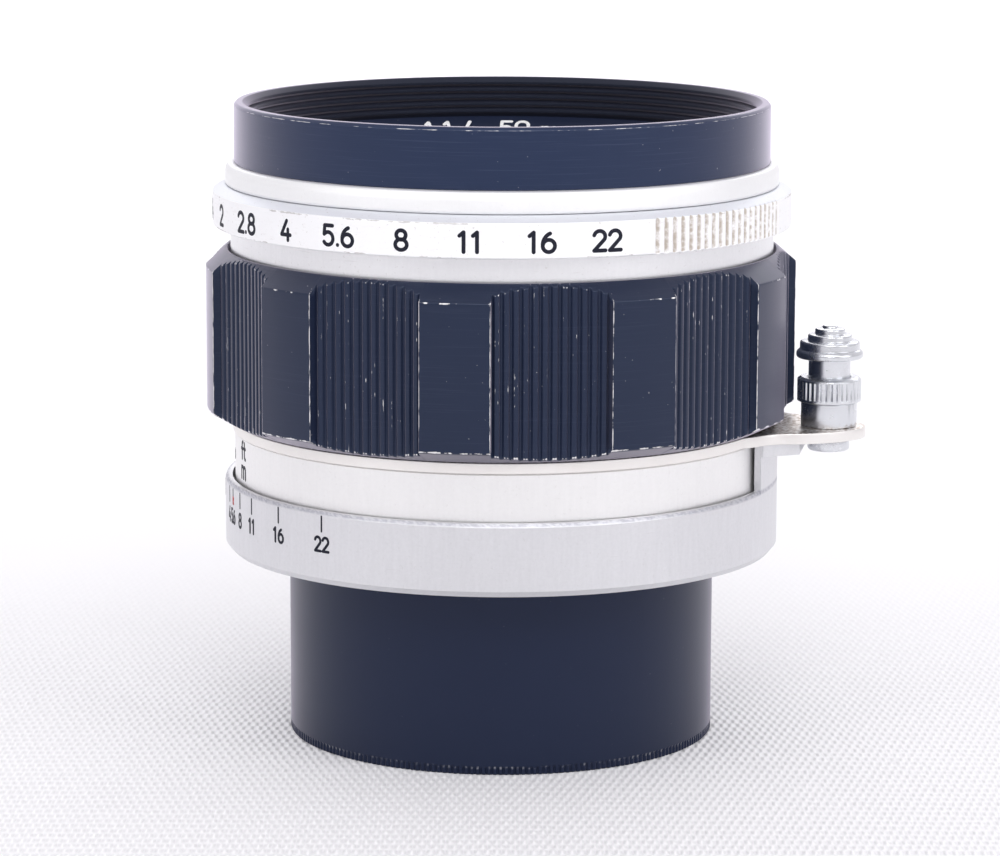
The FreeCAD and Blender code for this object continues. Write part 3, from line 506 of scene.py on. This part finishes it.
def make_grip(material):
    outline = lobe_outline()
    angles, radii, side, crest = (np.array(column) for column in zip(*outline))
    on_land = np.where(np.abs(angles) <= LAND_HALF, 1.0, 0.72)
    everything = np.concatenate([angles + LAND_AZ + 360.0 / LOBES * lobe for lobe in range(LOBES)])
    radii, side, crest, on_land = (np.tile(column, LOBES) for column in (radii, side, crest, on_land))
    low_r, low_z, land_low = 27.6, 32.3, 33.5
    lip_r, lip_z, land_top = 27.95, 49.6, 47.9
    z_low = low_z + (radii - low_r) / (LAND_R - low_r) * (land_low - low_z)
    z_top = lip_z - (radii - lip_r) / (LAND_R - lip_r) * (lip_z - land_top)
    full = np.ones_like(radii)
    soft = 0.09
    columns = [
        (25.1 * full, low_z * full, 0), (low_r * full - 0.12, low_z * full, 0.0),
        (low_r * full, low_z * full + 0.07, 0.0), (radii - 0.35, z_low - 0.35 * (land_low - low_z) / 2.3, 0.0),
        (radii - soft, z_low - soft * 0.52, 0.8), (radii - 0.02, z_low + 0.02, 1.0), (radii, z_low + soft, 1.0),
        (radii, z_low + 0.24, 0.55), (radii, z_low + 0.6, 0.0), (radii, 0.75 * z_low + 0.25 * z_top, 0.0),
        (radii, 0.5 * z_low + 0.5 * z_top, 0.0), (radii, 0.25 * z_low + 0.75 * z_top, 0.0),
        (radii, z_top - 0.8, 0.0), (radii, z_top - 0.2, 0.4), (radii, z_top - soft, 0.82),
        (radii - 0.02, z_top + 0.02, 0.86), (radii - soft, z_top + soft * 0.87, 0.6),
        (radii * 0.6 + lip_r * 0.4, z_top * 0.6 + lip_z * 0.4, 0.0), (lip_r * full + 0.05, lip_z * full - 0.05, 0.2),
        (lip_r * full - 0.06, lip_z * full, 0.2), (27.76 * full, lip_z * full, 0.0),
        (27.7 * full, lip_z * full - 0.06, 0.0), (27.7 * full, 43.6 * full, 0.0), (26.6 * full, 43.6 * full, 0.0),
        (26.6 * full, 35.2 * full, 0.0), (25.1 * full, 35.2 * full, 0.0)]
    grid_r = np.stack([column[0] for column in columns], axis=1)
    grid_z = np.stack([column[1] for column in columns], axis=1)
    on_wall = np.array([1.0 if 4 <= index <= 16 else 0.0 for index in range(len(columns))])
    colors = np.zeros(grid_r.shape + (4,), np.float32)
    colors[..., 0] = side[:, None] * on_wall
    colors[..., 1] = np.array([column[2] for column in columns])[None, :] * on_land[:, None]
    colors[..., 2] = crest[:, None] * on_wall
    colors[..., 3] = 1.0
    colors = colors.reshape(-1, 4)
    grip = loft("focus_grip_shell", grid_r, grid_z, everything, material, "focus_ring", colors)
    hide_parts("focus_grip")


# ---------------------------------------------------------------- turned shells

def make_rear_cap(material):
    """Cap with a fine knurl around its foot."""
    ticks, shape = 240, np.array([0.0, 0.0, 0.05, 0.17, 0.20, 0.17, 0.05, 0.0])
    count = ticks * len(shape)
    angles = np.arange(count) * 360.0 / count
    profile = rounded([(0.02, 0.0, 0), (21.48, 0.0, 0.08), (21.6, 0.12, 0.04), (21.6, 0.30, 0), (21.6, 0.55, 0),
                       (21.6, 0.68, 0), (21.6, 0.80, 0), (21.6, 0.92, 0), (21.6, 19.0, 0.15), (21.42, 19.2, 0.1),
                       (19.6, 19.2, 0.1), (19.6, 14.6, 0), (18.9, 14.6, 0.05), (18.9, 2.0, 0.4), (0.02, 2.0, 0)], 3)
    radii = np.tile(profile[:, 0], (count, 1))
    heights = np.tile(profile[:, 1], (count, 1))
    depth = np.interp(profile[:, 1], [0.0, 0.02, 0.68, 0.92], [0.6, 1.0, 1.0, 0.0]) * (profile[:, 0] > 21.0)
    groove = np.tile(shape, ticks)[:, None]
    radii -= groove * depth[None, :]
    colors = np.zeros(radii.shape + (4,), np.float32)
    # The knurl's ridge tips are marked in the wear colour for painted highlights.
    knurl_tip_highlight = np.interp(profile[:, 1], [0.55, 0.66, 0.80, 0.90], [0.0, 1.0, 1.0, 0.0]) * (profile[:, 0] > 21.0)
    colors[..., 0] = (groove < 0.01) * knurl_tip_highlight[None, :]
    colors[..., 3] = 1.0
    cap = loft("rear_cap_shell", radii, heights, angles, material, "rear_cap", colors.reshape(-1, 4))
    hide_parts("rear_cap")


def make_filter_ring(material):
    """Front rim with four turns of filter thread inside."""
    pitch, crest, root, thread_top = 0.75, 25.6, 26.0, 63.8
    thread = []
    for turn in range(4):
        top = thread_top - pitch * turn
        thread += [(crest, top - 0.26, 0.03), (root, top - 0.505, 0.03), (crest, top - pitch, 0.03)]
    profile = [(24.45, 56.6, 0.05), (26.2, 56.6, 0.05), (26.2, 58.3, 0), (26.95, 58.3, 0.06), (27.0, 58.4, 0.05),
               (27.0, 63.98, 0.12), (26.72, 64.3, 0.12), (26.1, 64.3, 0.12), (25.6, 63.8, 0.05), *thread,
               (25.6, 60.54, 0.03), (25.9, 60.24, 0), (25.9, 59.6, 0), (25.6, 59.3, 0.03), (25.6, 57.8, 0),
               (24.45, 57.8, 0)]
    ring = lathe("filter_rim", profile, material, "optical_barrel")
    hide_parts("filter_ring")


def make_front_collar(material):
    profile = [(26.25, 56.15, 0), (27.8, 56.15, 0.1), (27.96, 56.4, 0.12), (27.9, 57.6, 0.3), (27.62, 58.22, 0.2),
               (27.3, 58.3, 0.1), (26.25, 58.3, 0)]
    collar = lathe("front_collar_shell", profile, material, "optical_barrel")
    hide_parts("front_collar")


def make_button(material):
    """Stepped, domed button with rounded tiers."""
    profile = [(0.02, 39.1, 0), (3.2, 39.1, 0.1), (3.35, 39.28, 0.12), (3.35, 39.66, 0.15), (3.12, 39.92, 0.12),
               (3.0, 39.96, 0.06), (3.0, 40.68, 0.16), (2.8, 40.8, 0.1), (2.2, 40.82, 0.12), (2.2, 41.38, 0.14),
               (2.02, 41.48, 0.1), (1.5, 41.5, 0.1), (1.5, 41.96, 0.12), (1.36, 42.06, 0.08), (0.8, 42.1, 0.06),
               (0.78, 42.25, 0.08), (0.6, 42.38, 0.1), (0.3, 42.43, 0), (0.02, 42.43, 0)]
    button = lathe("button_shell", profile, material, "plunger", 96, PLUNGER)
    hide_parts("plunger_button")


BAND_R, BAND_TOP, KNURL_DEEP = 29.18, 55.45, 0.27
KNURL_AZIMUTH, KNURL_STEP = 30.6, 1.97


def make_aperture_ring(material):
    """Aperture ring with two opposite knurled zones."""
    grooves, samples, plain = 20, 8, 150
    fine = 0.2462
    zone = grooves * KNURL_STEP
    angles, groove = [], []
    for start in (KNURL_AZIMUTH - KNURL_STEP / 2, KNURL_AZIMUTH + 180.0 - KNURL_STEP / 2):
        for index in range(grooves * samples):
            angles.append(start + index * fine)
            phase = (index % samples) / samples
            groove.append(max(0.0, 1.0 - abs(phase - 0.5) / 0.40))
        angles += list(np.linspace(start + zone, start + 180.0, plain, endpoint=False))
        groove += [0.0] * plain
    base = rounded([(24.45, 52.05, 0), (29.06, 52.05, 0.1), (BAND_R, 52.2, 0.1), (BAND_R, BAND_TOP, 0.15),
                    (27.97, 56.1, 0.12), (24.45, 56.1, 0)])
    low = [tuple(p) for p in base if p[1] < 52.4]
    high = [tuple(p) for p in base if p[1] > 55.25]
    bevel = [(BAND_R - (z - BAND_TOP) * 1.21 / 0.65, z) for z in (55.55, 55.62, 55.7, 55.8)]
    join = max(index for index, p in enumerate(high) if p[1] < 55.55) + 1
    wall = [(BAND_R, z) for z in np.linspace(52.5, 55.2, 10)]
    profile = np.array(low + wall + high[:join] + bevel + high[join:])
    radii = np.tile(profile[:, 0], (len(angles), 1))
    heights = np.tile(profile[:, 1], (len(angles), 1))
    floor = BAND_R - KNURL_DEEP * np.array(groove)[:, None]
    reach = np.interp(profile[:, 1], [52.05, 52.2], [0.55, 1.0])[None, :]
    cut = np.clip(radii - (BAND_R - (BAND_R - floor) * reach), 0.0, None)
    cut = cut * (profile[:, 0] > 28.0)[None, :]
    radii = radii - cut
    colors = np.zeros(radii.shape + (4,), np.float32)
    colors[..., 0] = np.clip(cut / KNURL_DEEP, 0, 1)
    colors[..., 3] = 1.0
    ring = loft("aperture_ring_shell", radii, heights, np.array(angles), material, "aperture",
                colors.reshape(-1, 4))
    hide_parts("aperture_ring")


def aperture_metal():
    """Bright satin band with brown-grey rubs and dirt in the knurl."""
    s = Shader("aperture_band")
    groove = s.channels("wear")[0]
    cloud = s.noise(s.scaled(150.0), 4.0)
    rub = s.step(s.noise(s.stretch(120.0, 900.0, 2600.0), 4.0), 0.56, 0.74)
    speck = s.step(s.noise(s.scaled(3600.0), 2.0), 0.66, 0.74)
    color = s.mix(cloud, rgb(0.93, 0.93, 0.95), rgb(0.985, 0.985, 0.99))
    color = s.mix(s.math("MULTIPLY", rub, 0.12), color, rgb(0.55, 0.50, 0.47))
    rim = s.math("MAXIMUM", s.near(s.z, 55.4 * MM, 0.30 * MM), s.near(s.z, 52.2 * MM, 0.22 * MM))
    crumb = s.noise(s.stretch(100.0, 1500.0, 3800.0), 4.0)
    crumb = s.math("MULTIPLY", crumb, s.step(s.noise(s.stretch(60.0, 130.0, 130.0), 2.0), 0.30, 0.62))
    # The bevel above the band is painted a darker cool grey: painted shade on the slanted bevel.
    color = s.mix(s.step(s.z, BAND_TOP * MM, 55.52 * MM), color, rgb(0.74, 0.755, 0.80))
    ragged = s.step(s.math("MULTIPLY", rim, crumb), 0.36, 0.46)
    color = s.mix(s.math("MULTIPLY", ragged, 0.55), color, rgb(0.35, 0.31, 0.30))
    color = s.mix(s.math("MULTIPLY", speck, 0.35), color, rgb(0.40, 0.36, 0.32))
    crumbs = s.noise(s.scaled(1900.0), 3.0)
    dirt = s.math("MULTIPLY", s.step(groove, 0.10, 0.75), s.step(crumbs, 0.22, 0.62))
    color = s.mix(s.math("MULTIPLY", dirt, 0.85), color, rgb(0.42, 0.35, 0.28))
    s.bump(s.noise(s.scaled(4200.0), 3.0), 0.00002, 0.4)
    s.set(color=color, metal=s.blend(dirt, 0.45, 0.1), rough=s.blend(dirt, s.blend(rub, 0.50, 0.60), 0.8))
    return s.mat


# ---------------------------------------------------------------- engraved figures

# Each glyph is its width and its pen strokes, in units of the letter height.

def arc(cx, cy, rx, ry, start, end, steps=14):
    turn = np.radians(np.linspace(start, end, steps))
    return [(cx + rx * math.cos(a), cy + ry * math.sin(a)) for a in turn]


GLYPHS = {
    "0": (0.58, [arc(0.29, 0.70, 0.29, 0.30, 0, 180) + arc(0.29, 0.30, 0.29, 0.30, 180, 360) + [(0.58, 0.70)]]),
    "1": (0.42, [[(0.02, 0.82), (0.21, 1.0)], [(0.21, 1.0), (0.21, 0.0)]]),
    "2": (0.56, [arc(0.28, 0.71, 0.27, 0.29, 165, -28) + [(0.02, 0.0)], [(0.02, 0.0), (0.57, 0.0)]]),
    "3": (0.56, [arc(0.27, 0.76, 0.24, 0.24, 150, -90), arc(0.27, 0.27, 0.28, 0.27, 90, -150)]),
    "4": (0.60, [[(0.36, 1.0), (0.0, 0.27)], [(0.0, 0.27), (0.60, 0.27)], [(0.44, 0.56), (0.44, 0.0)]]),
    "5": (0.56, [[(0.52, 1.0), (0.09, 1.0)], [(0.09, 1.0), (0.05, 0.54)], arc(0.27, 0.33, 0.28, 0.33, 130, -145)]),
    "6": (0.58, [arc(0.29, 0.31, 0.28, 0.31, 0, 360, 24), arc(0.52, 0.36, 0.51, 0.62, 178, 110)]),
    "7": (0.54, [[(0.0, 1.0), (0.54, 1.0)], [(0.54, 1.0), (0.18, 0.0)]]),
    "8": (0.58, [arc(0.29, 0.76, 0.23, 0.24, 0, 360, 22), arc(0.29, 0.27, 0.28, 0.27, 0, 360, 24)]),
    "9": (0.58, [arc(0.29, 0.69, 0.28, 0.31, 0, 360, 24), arc(0.06, 0.64, 0.51, 0.62, -2, -70)]),
    ".": (0.10, [[(0.05, 0.03), (0.05, 0.035)]]),
    ":": (0.10, [[(0.05, 0.12), (0.05, 0.125)], [(0.05, 0.62), (0.05, 0.625)]]),
    "m": (0.78, [[(0.0, 0.0), (0.0, 0.62)], arc(0.195, 0.42, 0.195, 0.20, 180, 0) + [(0.39, 0.0)],
                 arc(0.585, 0.42, 0.195, 0.20, 180, 0) + [(0.78, 0.0)]]),
    "f": (0.36, [arc(0.36, 0.78, 0.20, 0.22, 90, 180) + [(0.16, 0.0)], [(0.0, 0.60), (0.34, 0.60)]]),
    "t": (0.34, [[(0.14, 0.95), (0.14, 0.2)] + arc(0.32, 0.2, 0.18, 0.2, 180, 270), [(0.0, 0.62), (0.32, 0.62)]]),
    "R": (0.54, [[(0.0, 0.0), (0.0, 1.0)], [(0.0, 1.0), (0.26, 1.0)] + arc(0.26, 0.75, 0.27, 0.25, 90, -90)
                 + [(0.0, 0.5)], [(0.27, 0.5), (0.54, 0.0)]]),
    "~": (1.10, [arc(0.27, 0.36, 0.27, 0.25, 35, 325, 20) + arc(0.83, 0.36, 0.27, 0.25, 215, 505, 20)
                 + [(0.49, 0.50)]]),
    " ": (0.30, []),
}


def line_up(text, height, gap=0.19):
    """Strokes of a text in millimetres, centred on x = 0, with y from 0 to height."""
    strokes, pen = [], 0.0
    for letter in text:
        width, lines = GLYPHS[letter]
        for points in lines:
            strokes.append([(x + pen, y) for x, y in points])
        pen += width + gap
    pen -= gap
    return [[((x - pen / 2) * height, y * height) for x, y in points] for points in strokes]


class Marks:
    """Collects paint strokes on a turned surface as thin closed prisms, then makes one piece of them."""

    def __init__(self, surface, thick=0.012, sink=0.03):
        self.surface, self.thick, self.sink = surface, thick, sink
        self.verts, self.faces = [], []

    def stroke(self, points, width, azimuth, height):
        points = resample(points, 0.09)
        outline = stroke_outline(points, width)
        count = len(points)
        base = len(self.verts)
        for level in (self.thick, -self.sink):
            self.verts += [self.surface(azimuth, x, height + y, level) for x, y in outline]
        total = len(outline)
        for i in range(total):
            j = (i + 1) % total
            self.faces.append((base + i, base + total + i, base + total + j, base + j))
        for level in (0, 1):
            fan = fill_stroke(count, total)
            for face in fan:
                moved = tuple(base + level * total + index for index in face)
                self.faces.append(moved if level == 0 else moved[::-1])

    def text(self, text, azimuth, low, height, stroke, squeeze=1.0):
        for points in line_up(text, height):
            self.stroke([(x * squeeze, y) for x, y in points], stroke, azimuth, low)

    def bar(self, azimuth, low, high, width):
        self.stroke([(0.0, 0.0), (0.0, high - low)], width, azimuth, low)

    def piece(self, name, material, body, slot):
        return new_piece(name, self.verts, self.faces, material, body, smooth=False)


def resample(points, spacing):
    """Points at an even spacing along a polyline."""
    points = np.array(points, float)
    steps = np.linalg.norm(np.diff(points, axis=0), axis=1)
    run = np.concatenate([[0], np.cumsum(steps)])
    count = max(2, int(math.ceil(run[-1] / spacing)) + 1)
    at = np.linspace(0, run[-1], count)
    return np.stack([np.interp(at, run, points[:, 0]), np.interp(at, run, points[:, 1])], axis=1)


CAP_STEPS = 5


def stroke_outline(points, width):
    """Closed loop round a stroke: its left side, end cap, right side and start cap."""
    count = len(points)
    heading = np.gradient(points, axis=0)
    length = np.linalg.norm(heading, axis=1)
    heading = heading / np.where(length > 0, length, 1.0)[:, None]
    side = np.stack([-heading[:, 1], heading[:, 0]], axis=1) * width / 2
    loop = [points[i] + side[i] for i in range(count)]
    for k in range(1, CAP_STEPS):
        turn = math.pi * k / CAP_STEPS
        loop.append(points[-1] + side[-1] * math.cos(turn) + heading[-1] * math.sin(turn) * width / 2)
    loop += [points[i] - side[i] for i in range(count - 1, -1, -1)]
    for k in range(1, CAP_STEPS):
        turn = math.pi * k / CAP_STEPS
        loop.append(points[0] - side[0] * math.cos(turn) - heading[0] * math.sin(turn) * width / 2)
    return loop


def fill_stroke(count, total):
    """Faces that fill a stroke's outline."""
    faces = []
    right = count + CAP_STEPS - 1
    for i in range(count - 1):
        a, b = i, i + 1
        c, d = right + count - 1 - (i + 1), right + count - 1 - i
        faces.append((d, c, b, a))
    faces.append(tuple(range(right, count - 2, -1)))
    faces.append((0,) + tuple(range(total - 1, right + count - 2, -1)))
    return faces


def on_cylinder(radius):
    """Maps (azimuth, x along the circumference, z, height above the surface) to a point in metres."""
    def surface(azimuth, x, z, level):
        turn = math.radians(azimuth) + x / radius
        out = radius + level
        return (out * math.sin(turn) * MM, -out * math.cos(turn) * MM, z * MM)
    return surface


def on_name_cone(azimuth, x, y, level):
    """The same on the name ring's cone, where y is the radius; text reads clockwise from the front."""
    outer_r, outer_z, inner_r, inner_z, text_r = 25.55, 60.1, 18.8, 56.15, 22.5
    radius = y
    turn = math.radians(azimuth) - x / text_r
    height = outer_z - (outer_r - radius) * (outer_z - inner_z) / (outer_r - inner_r) + level
    return (radius * math.sin(turn) * MM, -radius * math.cos(turn) * MM, height * MM)


def focus_turn(distance):
    """Degrees that the focusing ring turns from infinity to this distance (mm) from the film."""
    extension = (distance - math.sqrt(distance ** 2 - 4 * distance * FOCAL)) / 2 - FOCAL
    return extension / FOCUS_LEAD * 360.0


def make_figures(dark, red, white):
    band = Marks(on_cylinder(BAND_R))
    stops = (("1.4", 0.0), ("2", 0.0), ("2.8", 0.0), ("4", 0.2), ("5.6", 0.1), ("8", 0.3), ("11", 0.4),
             ("16", 0.6), ("22", 0.0))
    for index, (text, shift) in enumerate(stops):
        band.text(text, INDEX_AZIMUTH + STOP_STEP * index + shift, 52.75, 1.87, 0.38, squeeze=1.12)
    band.piece("aperture_figures", dark, "aperture", "black_enamel")

    depth = Marks(on_cylinder(28.1))
    depth.bar(INDEX_AZIMUTH, 24.4, 25.95, 0.24)
    for stop in (4.0, 5.6, 8.0, 11.0, 16.0, 22.0):
        for side in (-1, 1):
            azimuth = INDEX_AZIMUTH + side * stop * DEPTH_STEP
            depth.bar(azimuth, 24.45, 25.95, 0.19)
            depth.text("%g" % stop, azimuth, 22.5, 1.38, 0.28, squeeze=0.68 if stop == 5.6 else 0.95)
    depth.piece("depth_scale", dark, "mount", "black_enamel")
    infra = Marks(on_cylinder(28.1))
    infra.text("R", INDEX_AZIMUTH + 12.0, 24.45, 0.7, 0.16)
    infra.piece("infrared_mark", red, "mount", "black_enamel")

    metres = Marks(on_cylinder(27.1))
    feet = Marks(on_cylinder(27.1))
    metres.text("m", -72.3, 27.05, 1.9, 0.34)
    feet.text("ft", -72.3, 29.05, 1.7, 0.34)
    for value in (10, 5, 3, 2, 1.5, 1.2, 1):
        metres.text("%g" % value, INDEX_AZIMUTH - focus_turn(value * 1000.0), 27.1, 1.45, 0.26)
    for value in (30, 15, 10, 7, 5, 4, 3.5):
        feet.text("%g" % value, INDEX_AZIMUTH - focus_turn(value * 304.8), 29.2, 1.45, 0.26)
    feet.text("~", INDEX_AZIMUTH, 28.0, 1.6, 0.26)
    metres.piece("metre_scale", dark, "focus_ring", "black_enamel")
    feet.piece("foot_scale", dark, "focus_ring", "black_enamel")

    name = Marks(on_name_cone, 0.012, 0.03)
    for azimuth in (180.0, 0.0):
        for points in line_up("1:1.4  50 mm", 2.1):
            name.stroke(points, 0.34, azimuth, 22.62)
    name.piece("name_ring_figures", white, "optical_barrel", "name_black")


# ---------------------------------------------------------------- carried-over nodes

def dress(material, *names):
    """Gives CAD nodes a material."""
    for name in names:
        node = NODES[name]
        node.data.materials.clear()
        node.data.materials.append(material)


def soften(name, width, angle=35.0):
    """Rounds a CAD node's sharp edges with modifiers."""
    node = NODES[name]
    weld = node.modifiers.new("weld", "WELD")
    weld.merge_threshold = 2e-6
    bevel = node.modifiers.new("soft_edges", "BEVEL")
    bevel.width = width * MM
    bevel.segments = 2
    bevel.limit_method = "ANGLE"
    bevel.angle_limit = math.radians(angle)
    bevel.use_clamp_overlap = True
    even = node.modifiers.new("even_shading", "WEIGHTED_NORMAL")
    even.weight = 80


def make_floor():
    size = 3.0
    verts = [(-size, -size, 0), (size, -size, 0), (size, size, 0), (-size, size, 0)]
    mesh = bpy.data.meshes.new("floor")
    mesh.from_pydata(verts, [], [(0, 1, 2, 3)])
    floor = bpy.data.objects.new("floor", mesh)
    bpy.context.scene.collection.objects.link(floor)
    mesh.materials.append(floor_material())


def main():
    make_camera()
    make_studio()
    make_floor()

    silver = satin_metal("satin_silver", rgb(0.90, 0.90, 0.915), 0.38, tint=rgb(0.955, 0.955, 0.965))
    bright = satin_metal("satin_silver_bright", rgb(0.93, 0.935, 0.94), 0.48, lines=0.3, grime=0.05, mottle=0.2,
                         tint=rgb(0.97, 0.97, 0.97), metal=0.6)
    cool = satin_metal("satin_silver_cool", rgb(0.775, 0.775, 0.80), 0.42, lines=0.4, grime=0.08, mottle=0.5,
                       tint=rgb(0.83, 0.83, 0.855), edges=((27.99, 26.33),))
    warm = satin_metal("satin_silver_warm", rgb(0.93, 0.922, 0.92), 0.40, lines=0.35, grime=0.08,
                       tint=rgb(0.985, 0.98, 0.975))
    steel = turned_steel()
    grip_black = black_enamel("grip_enamel", attribute="wear")
    rim_black = black_enamel("rim_enamel", corners=((27.0, 64.0),), sheen=1.0, top=64.27, lift=1.6)
    matt = plain_metal("inner_black", rgb(0.03, 0.03, 0.034), 0.5)

    dress(silver, "barrel")
    dress(cool, "dof_ring")
    dress(warm, "distance_ring")
    dress(nickel_plate(), "release_arm")
    dress(steel, "plunger_stem", "plunger_foot", "plunger_housing", "lock_collar",
          "plunger_spring", "mount_flange", "guide_key_1", "guide_key_2", "drive_screw")
    dress(plain_metal("brass", rgb(0.72, 0.53, 0.26), 0.3), "focus_sleeve", "drive_ring")
    dress(matt, "bearing_tube", "front_cell", "rear_cell", "retaining_front", "retaining_middle",
          "retaining_rear", "iris_base", "cam_tube")
    dress(black_enamel("name_ring_black"), "name_ring")
    dress(coated_glass(), *["lens_%d" % n for n in range(1, 7)])
    dress(plain_metal("blade_steel", rgb(0.10, 0.10, 0.11), 0.4), *["iris_blade_%02d" % n for n in range(1, 11)])

    for name, width in (("lock_collar", 0.08), ("plunger_housing", 0.15),
                        ("release_arm", 0.12), ("plunger_foot", 0.15)):
        soften(name, width)

    make_grip(grip_black)
    make_rear_cap(cap_plastic())
    make_filter_ring(rim_black)
    make_front_collar(bright)
    make_aperture_ring(aperture_metal())
    make_button(steel)
    make_figures(ink("figure_dark", rgb(0.010, 0.011, 0.022)), ink("figure_red", rgb(0.55, 0.04, 0.03)),
                 ink("figure_white", rgb(0.85, 0.85, 0.85)))


main()
